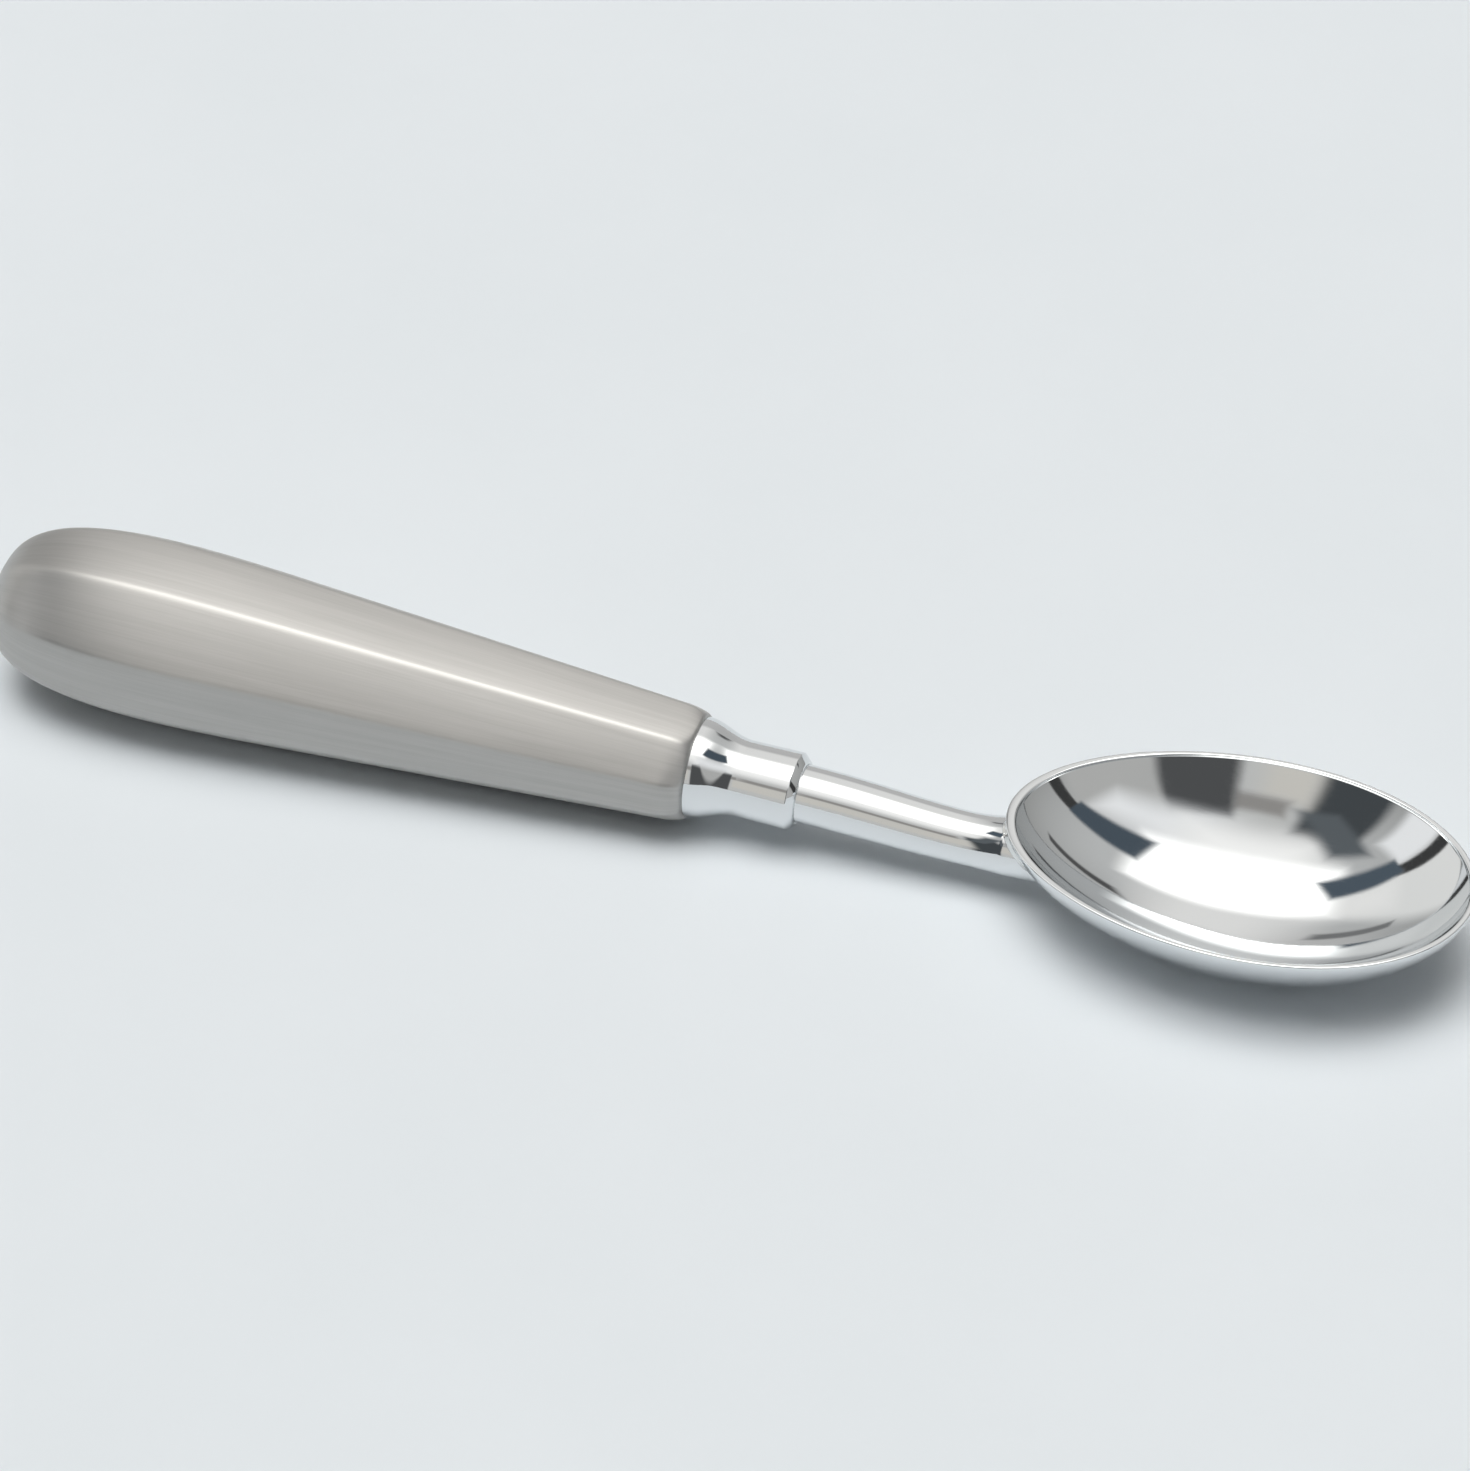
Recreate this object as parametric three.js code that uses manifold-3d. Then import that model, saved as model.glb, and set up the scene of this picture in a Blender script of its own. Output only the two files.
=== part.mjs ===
// Quenelle spoon in stainless steel: a deep oval pressed bowl, a bent round shank brazed to its back,
// a turned ferrule, and a hollow octagonal handle made of two stamped shells bonded over the shank's tang.
// Millimetres, +Z up, +X from the butt of the handle to the tip of the bowl, mirror plane at Y = 0.

import * as THREE from 'three';
import { mergeVertices } from 'three/addons/utils/BufferGeometryUtils.js';
import Module from 'manifold-3d';

const wasm = await Module();
wasm.setup();

// Bowl, outside sizes
const bowlLength = 59.0;
const bowlWidth = 36.8;
const bowlDepth = 13.7;
const bowlFloor = 1.2;
// How far the wall's arc turns from the floor to the rim: the sides slope and the ends stand almost upright
const bowlSideArc = THREE.MathUtils.degToRad(47);
const bowlEndArc = THREE.MathUtils.degToRad(82);
// How much wider the tip half is than the handle half, as a share of the half width
const bowlTipFullness = 0.075;
// The lip is ground thin along the sides and left thick where the shank joins
const lipHeight = 0.3;
const lipWidthSide = 0.6;
const lipWidthTip = 0.8;
const lipWidthHandle = 1.25;

// Handle, from the ferrule to the butt; the butt section is where the straight taper would end undomed
const handleLength = 93.4;
const handleEndWidth = 15.4;
const handleEndHeight = 13.8;
const handleEndTopFacet = 6.4;
const handleEndSideFacet = 4.9;
const handleButtWidth = 28.1;
const handleButtHeight = 26.1;
const handleButtTopFacet = 10.6;
const handleButtSideFacet = 10.0;
const handleEdgeRadius = 0.9;
// Where the rounding of an edge passes between the chord, 0, and the sharp corner, 1
const handleEdgeCrown = 0.5;
// The edges keep their radius over the dome until the section has shrunk to this share
const handleEdgeLeastScale = 0.3;
const handleWall = 1.0;
const handleButtWall = 2.5;
const handleEndWall = 1.5;
const handleEndRoundLength = 3.2;
const handleDomeLength = 42.1;
const handleDomeLengthPower = 3.16;
const handleDomeRadialPower = 3.03;
// The handle axis rises from the bowl to the butt
const handlePitch = THREE.MathUtils.degToRad(2.3);

// Ferrule
const ferruleLength = 13.8;
const ferruleFlareDiameter = 12.9;
const ferruleFlareLength = 6.2;
const ferruleWaistDiameter = 9.8;
const ferruleNoseDiameter = 10.0;
const ferruleNoseChamfer = 1.0;
const ferruleNoseLand = 0.1;
const ferruleSocketDepth = 1.5;
const spigotDiameter = 9.2;
const spigotLength = 5.0;

// Shank and its tang
const neckReach = 26.7;
const shankRootDiameter = 7.5;
const shankWaistDiameter = 6.8;
const shankEndRise = THREE.MathUtils.degToRad(1.0);
// How far the bend's end tangents reach, as a share of the bent length
const shankBendShare = 0.4;
const axisBelowRim = 6.9;
const shankBelowRim = 7.3;
const tangDiameter = 5.5;
const tangLength = 42.0;
const tangTipChamfer = 0.8;

// Bonding core round the tang, and the brazed fillet between shank and bowl
const coreBehindTang = 6.0;
const brazeLength = 2.6;
// The filler climbs high on the open upper side and thins out below, where the wall slants away
const brazeWidthAbove = 2.2;
const brazeWidthBelow = 0.6;

// Gap that mating pieces keep
const fitClearance = 0.3;
// How far a cutting shape reaches past the faces it cuts
const cutOverrun = 2.0;

// Facet counts
const bowlSteps = 56;
const bowlWallSteps = 10;
const lipSteps = 4;
const roundSteps = 32;
const domeSteps = 13;
const endRoundSteps = 4;
const shankPathSteps = 12;
const brazeArcSteps = 4;
const flareSteps = 8;
const wallSearchSteps = 40;
// Above one, the rings of the dome crowd towards the butt
const domeStationPower = 3;

const polishedSteel = new THREE.MeshStandardMaterial({ color: 0xdfe2e4, metalness: 1.0, roughness: 0.06 });
const satinSteel = new THREE.MeshStandardMaterial({ color: 0xbab8b4, metalness: 1.0, roughness: 0.38 });
const brazeMetal = new THREE.MeshStandardMaterial({ color: 0xd2d4d5, metalness: 1.0, roughness: 0.12 });
const resinFill = new THREE.MeshStandardMaterial({ color: 0xa79c86, metalness: 0.0, roughness: 0.8 });

// Derived places: the bowl stands on Z = 0 at X = 0 until the whole spoon is centred at the end
const rimHeight = bowlDepth;
const lipFoot = rimHeight - lipHeight;
const axisDirection = new THREE.Vector3(Math.cos(handlePitch), 0, -Math.sin(handlePitch));
const axisAtRim = new THREE.Vector3(-bowlLength / 2, 0, rimHeight - axisBelowRim);
const gripOrigin = axisAtRim.clone().addScaledVector(axisDirection, -(neckReach + ferruleLength));
const gripPlace = new THREE.Matrix4().makeRotationY(handlePitch).setPosition(gripOrigin);

// Solids and meshes

function signedVolume(positions, index) {
  const a = new THREE.Vector3();
  const b = new THREE.Vector3();
  const c = new THREE.Vector3();
  let volume = 0;
  for (let i = 0; i < index.length; i += 3) {
    a.fromArray(positions, index[i] * 3);
    b.fromArray(positions, index[i + 1] * 3);
    c.fromArray(positions, index[i + 2] * 3);
    volume += a.dot(b.cross(c)) / 6;
  }
  return volume;
}

// A closed geometry from points and triangles, turned so that its faces point out
function closedGeometry(points, triangles) {
  const positions = points.flatMap((p) => [p.x, p.y, p.z]);
  const outward = signedVolume(positions, triangles.flat()) > 0;
  const index = triangles.flatMap(([i, j, k]) => (outward ? [i, j, k] : [i, k, j]));
  const geometry = new THREE.BufferGeometry();
  geometry.setAttribute('position', new THREE.Float32BufferAttribute(positions, 3));
  geometry.setIndex(index);
  return geometry;
}

// Skin over a row of rings of equal count; a ring of one point is a pole, an open end gets a flat cap
function loft(rings) {
  const points = [];
  const triangles = [];
  const starts = rings.map((ring) => {
    const start = points.length;
    points.push(...ring);
    return start;
  });
  const count = Math.max(...rings.map((ring) => ring.length));
  for (let r = 0; r + 1 < rings.length; r += 1) {
    for (let i = 0; i < count; i += 1) {
      const next = (i + 1) % count;
      const nearPole = rings[r].length === 1;
      const farPole = rings[r + 1].length === 1;
      const a = starts[r] + (nearPole ? 0 : i);
      const b = starts[r] + (nearPole ? 0 : next);
      const c = starts[r + 1] + (farPole ? 0 : i);
      const d = starts[r + 1] + (farPole ? 0 : next);
      if (!nearPole) triangles.push([a, b, c]);
      if (!farPole) triangles.push([b, d, c]);
    }
  }
  capRing(rings[0], starts[0], points, triangles, false);
  capRing(rings.at(-1), starts.at(-1), points, triangles, true);
  return closedGeometry(points, triangles);
}

function capRing(ring, start, points, triangles, last) {
  if (ring.length === 1) return;
  const centre = ring.reduce((sum, p) => sum.add(p), new THREE.Vector3()).divideScalar(ring.length);
  const hub = points.push(centre) - 1;
  for (let i = 0; i < ring.length; i += 1) {
    const a = start + i;
    const b = start + ((i + 1) % ring.length);
    triangles.push(last ? [a, b, hub] : [b, a, hub]);
  }
}

// Skin over closed sections that stand in a ring, such as a fillet round a rod
function ringLoft(sections) {
  const points = sections.flat();
  const count = sections[0].length;
  const triangles = [];
  for (let s = 0; s < sections.length; s += 1) {
    for (let i = 0; i < count; i += 1) {
      const a = s * count + i;
      const b = s * count + ((i + 1) % count);
      const c = ((s + 1) % sections.length) * count + i;
      const d = ((s + 1) % sections.length) * count + ((i + 1) % count);
      triangles.push([a, b, c], [b, d, c]);
    }
  }
  return closedGeometry(points, triangles);
}

function toSolid(geometry) {
  const bare = geometry.clone();
  bare.deleteAttribute('normal');
  bare.deleteAttribute('uv');
  const merged = mergeVertices(bare);
  return new wasm.Manifold(new wasm.Mesh({
    numProp: 3,
    vertProperties: new Float32Array(merged.attributes.position.array),
    triVerts: new Uint32Array(merged.index.array),
  }));
}

function toGeometry(solid) {
  const { vertProperties, triVerts } = solid.getMesh();
  const geometry = new THREE.BufferGeometry();
  geometry.setAttribute('position', new THREE.BufferAttribute(vertProperties, 3));
  geometry.setIndex(new THREE.BufferAttribute(triVerts, 1));
  return geometry;
}

function namedMesh(name, geometry, material) {
  geometry.computeVertexNormals();
  const mesh = new THREE.Mesh(geometry, material);
  mesh.name = name;
  return mesh;
}

// A rod along the handle axis, from one station to another
function axialCylinder(radius, from, to) {
  const rod = new THREE.CylinderGeometry(radius, radius, to - from, roundSteps);
  return rod.rotateZ(-Math.PI / 2).translate((from + to) / 2, 0, 0);
}

// Bowl

// How far an arc has spread, as a share of its half width, at a share of its height
function arcSpread(heightShare, arc) {
  const rest = 1 - heightShare * (1 - Math.cos(arc));
  return Math.sqrt(Math.max(0, 1 - rest * rest)) / Math.sin(arc);
}

function lipWidth(angle) {
  const along = Math.cos(angle);
  const endWidth = THREE.MathUtils.lerp(lipWidthHandle, lipWidthTip, (1 + along) / 2);
  return THREE.MathUtils.lerp(lipWidthSide, endWidth, along * along);
}

// One level ring; inward is 0 on the outer wall and 1 on the inner wall, grown moves the outer wall out
function bowlRing(heightShare, inward, z, grown = 0) {
  return Array.from({ length: bowlSteps }, (_, i) => {
    const angle = (i / bowlSteps) * Math.PI * 2;
    const inset = inward * lipWidth(angle) - grown;
    const fullness = 1 + bowlTipFullness * Math.cos(angle);
    return new THREE.Vector3(
      (bowlLength / 2 - inset) * Math.cos(angle) * arcSpread(heightShare, bowlEndArc),
      ((bowlWidth / 2) * fullness - inset) * Math.sin(angle) * arcSpread(heightShare, bowlSideArc),
      z,
    );
  });
}

// Rings of one wall from just above its lowest point up to the lip
function bowlWallRings(inward, grown = 0) {
  const bottom = inward * bowlFloor - grown;
  return Array.from({ length: bowlWallSteps }, (_, i) => {
    const turn = (Math.PI / 2) * ((i + 1) / bowlWallSteps);
    const heightShare = 1 - Math.cos(turn);
    return bowlRing(heightShare, inward, THREE.MathUtils.lerp(bottom, lipFoot, heightShare), grown);
  });
}

function bowlGeometry() {
  const lip = Array.from({ length: lipSteps - 1 }, (_, i) => {
    const turn = (Math.PI * (i + 1)) / lipSteps;
    return bowlRing(1, (1 - Math.cos(turn)) / 2, lipFoot + lipHeight * Math.sin(turn));
  });
  return loft([
    [new THREE.Vector3(0, 0, 0)],
    ...bowlWallRings(0),
    ...lip,
    ...bowlWallRings(1).reverse(),
    [new THREE.Vector3(0, 0, bowlFloor)],
  ]);
}

// The room that the bowl takes up, filled to the rim and grown by the clearance
function bowlRoom() {
  return loft([
    [new THREE.Vector3(0, 0, -fitClearance)],
    ...bowlWallRings(0, fitClearance),
    bowlRing(1, 0, rimHeight + fitClearance, fitClearance),
  ]);
}

// Above zero outside the bowl's outer wall, grown by the clearance
function outsideBowl(point) {
  const heightShare = THREE.MathUtils.clamp((point.z + fitClearance) / (lipFoot + fitClearance), 1e-6, 1);
  const reachX = (bowlLength / 2 + fitClearance) * arcSpread(heightShare, bowlEndArc);
  const alongX = point.x / reachX;
  const fullness = 1 + bowlTipFullness * THREE.MathUtils.clamp(alongX, -1, 1);
  const reachY = ((bowlWidth / 2) * fullness + fitClearance) * arcSpread(heightShare, bowlSideArc);
  const alongY = point.y / reachY;
  return alongX * alongX + alongY * alongY - 1;
}

// Shank

const shankSeat = ferruleLength - ferruleSocketDepth + fitClearance;
const shankStart = new THREE.Vector3(ferruleLength, 0, 0).applyMatrix4(gripPlace);
const shankEnd = new THREE.Vector3(-bowlLength / 2, 0, rimHeight - shankBelowRim);
const shankEndDirection = new THREE.Vector3(Math.cos(shankEndRise), 0, Math.sin(shankEndRise));
const shankBendReach = shankBendShare * shankStart.distanceTo(shankEnd);
const shankPath = new THREE.CubicBezierCurve3(
  shankStart,
  shankStart.clone().addScaledVector(axisDirection, shankBendReach),
  shankEnd.clone().addScaledVector(shankEndDirection, -shankBendReach),
  shankEnd,
);

// A round ring square to a direction in the mirror plane
function roundRing(centre, direction, radius) {
  const across = new THREE.Vector3(0, 1, 0);
  const up = new THREE.Vector3().crossVectors(direction, across);
  return Array.from({ length: roundSteps }, (_, i) => {
    const angle = (i / roundSteps) * Math.PI * 2;
    return centre.clone()
      .addScaledVector(across, radius * Math.cos(angle))
      .addScaledVector(up, radius * Math.sin(angle));
  });
}

function tangRing(station, radius) {
  return roundRing(new THREE.Vector3(station, 0, 0).applyMatrix4(gripPlace), axisDirection, radius);
}

function shankRadius(share) {
  const slimming = THREE.MathUtils.smoothstep(share, 0, 1);
  return THREE.MathUtils.lerp(shankRootDiameter, shankWaistDiameter, slimming) / 2;
}

// Stepped tang, seat shoulder and bent rod in one bar, with its end coped to the back of the bowl
function shankGeometry() {
  const rod = Array.from({ length: shankPathSteps + 1 }, (_, i) => {
    const share = i / shankPathSteps;
    return roundRing(shankPath.getPoint(share), shankPath.getTangent(share), shankRadius(share));
  });
  const pastWall = shankEnd.clone().addScaledVector(shankEndDirection, bowlLength / 2);
  const bar = loft([
    tangRing(-tangLength, tangDiameter / 2 - tangTipChamfer),
    tangRing(-tangLength + tangTipChamfer, tangDiameter / 2),
    tangRing(shankSeat, tangDiameter / 2),
    tangRing(shankSeat, shankRootDiameter / 2),
    ...rod,
    roundRing(pastWall, shankEndDirection, shankWaistDiameter / 2),
  ]);
  return toGeometry(toSolid(bar).subtract(toSolid(bowlRoom())));
}

// Brazed fillet: a concave ring of filler between the shank's end and the back of the bowl

function wallStation(radius, angle) {
  const up = new THREE.Vector3().crossVectors(shankEndDirection, new THREE.Vector3(0, 1, 0));
  const spoke = new THREE.Vector3(0, radius * Math.cos(angle), 0);
  spoke.addScaledVector(up, radius * Math.sin(angle));
  const at = (station) => shankEnd.clone().addScaledVector(shankEndDirection, station).add(spoke);
  let outside = -brazeLength;
  let inside = bowlLength / 2;
  for (let i = 0; i < wallSearchSteps; i += 1) {
    const middle = (outside + inside) / 2;
    if (outsideBowl(at(middle)) > 0) outside = middle;
    else inside = middle;
  }
  return { station: outside, at };
}

function brazeGeometry() {
  const inner = shankWaistDiameter / 2 + fitClearance;
  const sections = Array.from({ length: roundSteps }, (_, i) => {
    const angle = (i / roundSteps) * Math.PI * 2;
    const brazeWidth = THREE.MathUtils.lerp(brazeWidthBelow, brazeWidthAbove, (1 + Math.sin(angle)) / 2);
    const foot = wallStation(inner, angle);
    const start = foot.station - brazeLength;
    const arc = Array.from({ length: brazeArcSteps + 1 }, (_, k) => {
      const share = k / brazeArcSteps;
      const radius = inner + brazeWidth * (1 - Math.cos((share * Math.PI) / 2));
      const wall = wallStation(radius, angle);
      const station = THREE.MathUtils.lerp(start, wall.station, Math.sin((share * Math.PI) / 2));
      return wall.at(station);
    });
    const middle = wallStation(inner + brazeWidth / 2, angle);
    return [...arc, middle.at(middle.station), foot.at(foot.station)];
  });
  return ringLoft(sections);
}

// Ferrule

function ferruleGeometry() {
  const bore = tangDiameter / 2 + fitClearance;
  const socket = shankRootDiameter / 2 + fitClearance;
  const spigot = spigotDiameter / 2;
  const nose = ferruleNoseDiameter / 2;
  const waist = ferruleWaistDiameter / 2;
  const flare = Array.from({ length: flareSteps + 1 }, (_, i) => {
    const share = i / flareSteps;
    const swell = 0.5 + 0.5 * Math.cos(Math.PI * share);
    const radius = waist + (ferruleFlareDiameter / 2 - waist) * swell;
    return new THREE.Vector2(radius, THREE.MathUtils.lerp(fitClearance, ferruleFlareLength, share));
  });
  const profile = [
    new THREE.Vector2(bore, -spigotLength),
    new THREE.Vector2(spigot, -spigotLength),
    new THREE.Vector2(spigot, fitClearance),
    ...flare,
    new THREE.Vector2(nose, ferruleLength - ferruleNoseChamfer),
    new THREE.Vector2(Math.max(nose - ferruleNoseChamfer, socket + ferruleNoseLand), ferruleLength),
    new THREE.Vector2(socket, ferruleLength),
    new THREE.Vector2(socket, ferruleLength - ferruleSocketDepth),
    new THREE.Vector2(bore, ferruleLength - ferruleSocketDepth),
    new THREE.Vector2(bore, -spigotLength),
  ];
  const lathe = new THREE.LatheGeometry(profile, roundSteps).rotateZ(-Math.PI / 2);
  return toGeometry(toSolid(lathe)).applyMatrix4(gripPlace);
}

// Handle

// Half sizes of the octagon at a station, before the dome: 0 at the ferrule, handleLength at the butt
function taperSection(fromFerrule) {
  const share = fromFerrule / handleLength;
  return {
    halfWidth: THREE.MathUtils.lerp(handleEndWidth, handleButtWidth, share) / 2,
    halfHeight: THREE.MathUtils.lerp(handleEndHeight, handleButtHeight, share) / 2,
    topHalf: THREE.MathUtils.lerp(handleEndTopFacet, handleButtTopFacet, share) / 2,
    sideHalf: THREE.MathUtils.lerp(handleEndSideFacet, handleButtSideFacet, share) / 2,
  };
}

function domeScale(fromButt) {
  const share = Math.min(1, Math.max(0, 1 - fromButt / handleDomeLength));
  return (1 - share ** handleDomeLengthPower) ** (1 / handleDomeRadialPower);
}

// Octagon with softened edges in the plane across the axis, as pairs of Y and Z
function octagonOutline({ halfWidth, halfHeight, topHalf, sideHalf }, edgeRadius) {
  const quarter = [
    new THREE.Vector2(halfWidth, sideHalf),
    new THREE.Vector2(topHalf, halfHeight),
  ];
  const corners = [
    ...quarter,
    ...quarter.map((p) => new THREE.Vector2(-p.x, p.y)).reverse(),
    ...quarter.map((p) => new THREE.Vector2(-p.x, -p.y)),
    ...quarter.map((p) => new THREE.Vector2(p.x, -p.y)).reverse(),
  ];
  return corners.flatMap((corner, i) => {
    const before = corners.at(i - 1).clone().sub(corner);
    const after = corners[(i + 1) % corners.length].clone().sub(corner);
    const room = Math.min(before.length(), after.length()) / 2;
    const cut = Math.min(edgeRadius * Math.tan(Math.PI / 8), room);
    const start = corner.clone().addScaledVector(before.normalize(), cut);
    const end = corner.clone().addScaledVector(after.normalize(), cut);
    const crown = start.clone().lerp(end, 0.5).lerp(corner, handleEdgeCrown);
    return [start, crown, end];
  });
}

function placeOutline(outline, fromFerrule) {
  return outline.map((p) => new THREE.Vector3(-fromFerrule, p.x, p.y));
}

function handleRing(fromFerrule) {
  const scale = domeScale(handleLength - fromFerrule);
  const section = taperSection(fromFerrule);
  const outline = octagonOutline(section, handleEdgeRadius / Math.max(scale, handleEdgeLeastScale));
  return placeOutline(outline.map((p) => p.multiplyScalar(scale)), fromFerrule);
}

// Near the ferrule the octagon eases into the ferrule's circle
function handleEndRing(share) {
  const fromFerrule = handleEndRoundLength * (1 - share);
  const easing = 1 - Math.sqrt(1 - share * share);
  const outline = octagonOutline(taperSection(fromFerrule), handleEdgeRadius);
  const circle = ferruleFlareDiameter / 2;
  return placeOutline(outline.map((p) => p.lerp(p.clone().setLength(circle), easing)), fromFerrule);
}

// Inside section of the shells, drawn in by a wall from the outside
function cavityRing(fromFerrule, wall) {
  const scale = domeScale(handleLength - fromFerrule);
  const outer = taperSection(fromFerrule);
  const miter = Math.tan(Math.PI / 8);
  const inner = {
    halfWidth: outer.halfWidth * scale - wall,
    halfHeight: outer.halfHeight * scale - wall,
    topHalf: outer.topHalf * scale - wall * miter,
    sideHalf: outer.sideHalf * scale - wall * miter,
  };
  return placeOutline(octagonOutline(inner, handleEdgeRadius), fromFerrule);
}

function domeStations(nearest) {
  return Array.from({ length: domeSteps }, (_, i) => {
    const share = ((i + 1) / domeSteps) ** domeStationPower;
    return handleLength - THREE.MathUtils.lerp(nearest, handleDomeLength, share);
  });
}

function handleBlank() {
  const endRings = Array.from({ length: endRoundSteps + 1 }, (_, i) => handleEndRing(i / endRoundSteps));
  return loft([
    [new THREE.Vector3(-handleLength, 0, 0)],
    ...domeStations(0).map(handleRing),
    ...endRings,
  ]);
}

function handleCavity() {
  const deepest = handleLength - handleButtWall - handleWall;
  const stations = [deepest, ...domeStations(handleButtWall + handleWall), handleEndWall];
  return loft(stations.map((station) => cavityRing(station, handleWall)));
}

// One stamped shell: side is 1 for the upper and -1 for the lower
function handleShellGeometry(side) {
  const mouth = axialCylinder(spigotDiameter / 2 + fitClearance, -handleEndWall - cutOverrun, cutOverrun);
  const reach = handleButtWidth + handleButtHeight;
  const keep = new THREE.BoxGeometry(handleLength + 2 * cutOverrun, reach, reach);
  keep.translate(-handleLength / 2, 0, side * (reach / 2 + fitClearance / 2));
  const shell = toSolid(handleBlank())
    .subtract(toSolid(handleCavity()))
    .subtract(toSolid(mouth))
    .intersect(toSolid(keep));
  return toGeometry(shell).applyMatrix4(gripPlace);
}

// Bonding core: fills the hollow behind the ferrule's spigot and holds the tang
function coreGeometry() {
  const front = spigotLength + fitClearance;
  const back = tangLength + coreBehindTang;
  const body = loft([front, back].map((station) => cavityRing(station, handleWall + fitClearance)));
  const bore = axialCylinder(tangDiameter / 2 + fitClearance, -tangLength - fitClearance, 0);
  return toGeometry(toSolid(body).subtract(toSolid(bore))).applyMatrix4(gripPlace);
}

// The assembled spoon, with its origin at the middle of its footprint

const spoon = new THREE.Group();
spoon.name = 'quenelle_spoon';
spoon.add(
  namedMesh('bowl', bowlGeometry(), polishedSteel),
  namedMesh('bowl_braze_fillet', brazeGeometry(), brazeMetal),
  namedMesh('shank', shankGeometry(), polishedSteel),
  namedMesh('ferrule', ferruleGeometry(), polishedSteel),
  namedMesh('handle_upper_shell', handleShellGeometry(1), satinSteel),
  namedMesh('handle_lower_shell', handleShellGeometry(-1), satinSteel),
  namedMesh('handle_core', coreGeometry(), resinFill),
);
const footprint = new THREE.Box3().setFromObject(spoon, true);
const middle = footprint.getCenter(new THREE.Vector3());
spoon.position.set(-middle.x, -middle.y, -footprint.min.z);

export default spoon;
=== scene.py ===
# Quenelle spoon in stainless steel: mirror polished bowl, shank and ferrule, satin octagonal handle.
# Lengths are in metres. The bowl, shank, ferrule and handle stand where the frame's nodes stand.

import math

import bmesh
import bpy
from mathutils import Matrix, Vector


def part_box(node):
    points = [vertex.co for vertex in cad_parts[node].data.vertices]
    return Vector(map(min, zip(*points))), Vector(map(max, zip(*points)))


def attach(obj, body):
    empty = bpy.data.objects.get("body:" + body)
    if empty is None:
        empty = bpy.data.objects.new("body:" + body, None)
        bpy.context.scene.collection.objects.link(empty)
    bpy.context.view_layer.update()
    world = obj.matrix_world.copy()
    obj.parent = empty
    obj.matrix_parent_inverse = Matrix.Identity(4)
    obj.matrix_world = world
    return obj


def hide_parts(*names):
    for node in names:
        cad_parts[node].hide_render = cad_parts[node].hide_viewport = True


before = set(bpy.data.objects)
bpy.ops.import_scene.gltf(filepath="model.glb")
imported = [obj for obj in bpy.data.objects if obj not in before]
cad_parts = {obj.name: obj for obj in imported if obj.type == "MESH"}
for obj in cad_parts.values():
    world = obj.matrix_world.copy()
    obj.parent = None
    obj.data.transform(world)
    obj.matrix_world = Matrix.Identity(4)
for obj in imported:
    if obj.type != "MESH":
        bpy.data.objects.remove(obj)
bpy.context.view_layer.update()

MM = 0.001

# Camera: the direction it looks from, its distance and the point it looks at
VIEW_AZIMUTH = math.radians(18.4)
VIEW_ELEVATION = math.radians(41.45)
VIEW_DISTANCE = 1.0
VIEW_LENS_MM = 197.5
VIEW_SENSOR_MM = 36.0
VIEW_CLIP_START = 0.01
VIEW_AIM = Vector((1.87, 0.0, 15.0)) * MM

# Bowl: its walls are arcs, given by how far they turn from the floor to the rim
BOWL_LENGTH = 59.0 * MM
BOWL_WIDTH = 36.74 * MM
BOWL_DEPTH = 13.7 * MM
BOWL_FLOOR = 1.2 * MM
BOWL_SIDE_ARC = math.radians(70)
BOWL_SIDE_ARC_INSIDE = math.radians(47)
BOWL_END_ARC = math.radians(82)
BOWL_END_ARC_INSIDE = math.radians(68)
BOWL_TIP_FULLNESS = 0.075
BOWL_AROUND = 288
BOWL_UP = 180
BOWL_MERGE = 0.001 * MM
BOWL_LEAST_SHARE = 1e-6

# Lip: its share of the steps from the outer floor to the inner floor, and a power that squares its section
LIP_HEIGHT = 0.3 * MM
LIP_WIDTH_HANDLE = 1.25 * MM
LIP_WIDTH_TIP = 0.8 * MM
LIP_WIDTH_SIDE = 0.6 * MM
LIP_SHARE = 0.1
LIP_SQUARENESS = 0.6

# Handle: octagons at the ferrule and where the taper would end without its dome
HANDLE_LENGTH = 93.4 * MM
HANDLE_END_WIDTH = 15.4 * MM
HANDLE_END_HEIGHT = 13.8 * MM
HANDLE_END_TOP_FACET = 6.4 * MM
HANDLE_END_SIDE_FACET = 4.9 * MM
HANDLE_BUTT_WIDTH = 28.1 * MM
HANDLE_BUTT_HEIGHT = 26.1 * MM
HANDLE_BUTT_TOP_FACET = 10.6 * MM
HANDLE_BUTT_SIDE_FACET = 10.0 * MM
HANDLE_PITCH = math.radians(2.3)
HANDLE_END_ROUND = 3.2 * MM
HANDLE_DOME_LENGTH = 42.1 * MM
HANDLE_DOME_LENGTH_POWER = 3.16
HANDLE_DOME_RADIAL_POWER = 3.03

# Grinding of the handle: how crisp its edges are, how much its facets bulge and what is taken off
HANDLE_EDGE_HARDNESS = 100.0
HANDLE_BUTT_HARDNESS = 20.0
HANDLE_SOFT_REACH = 16.0 * MM
HANDLE_CROWN = 0.11
HANDLE_SLANT_GAIN = 1.012
HANDLE_GROUND_OFF = 0.04 * MM

# Steps of the handle's skin, which crowd towards the butt's pole; a facet counts where it leans to a point
HANDLE_FACET_STEPS = 20
HANDLE_DOME_STEPS = 72
HANDLE_DOME_CROWDING = 3
HANDLE_END_STEPS = 16
HANDLE_TAPER_STEPS = 12
FACET_LEAN = 0.5

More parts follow.
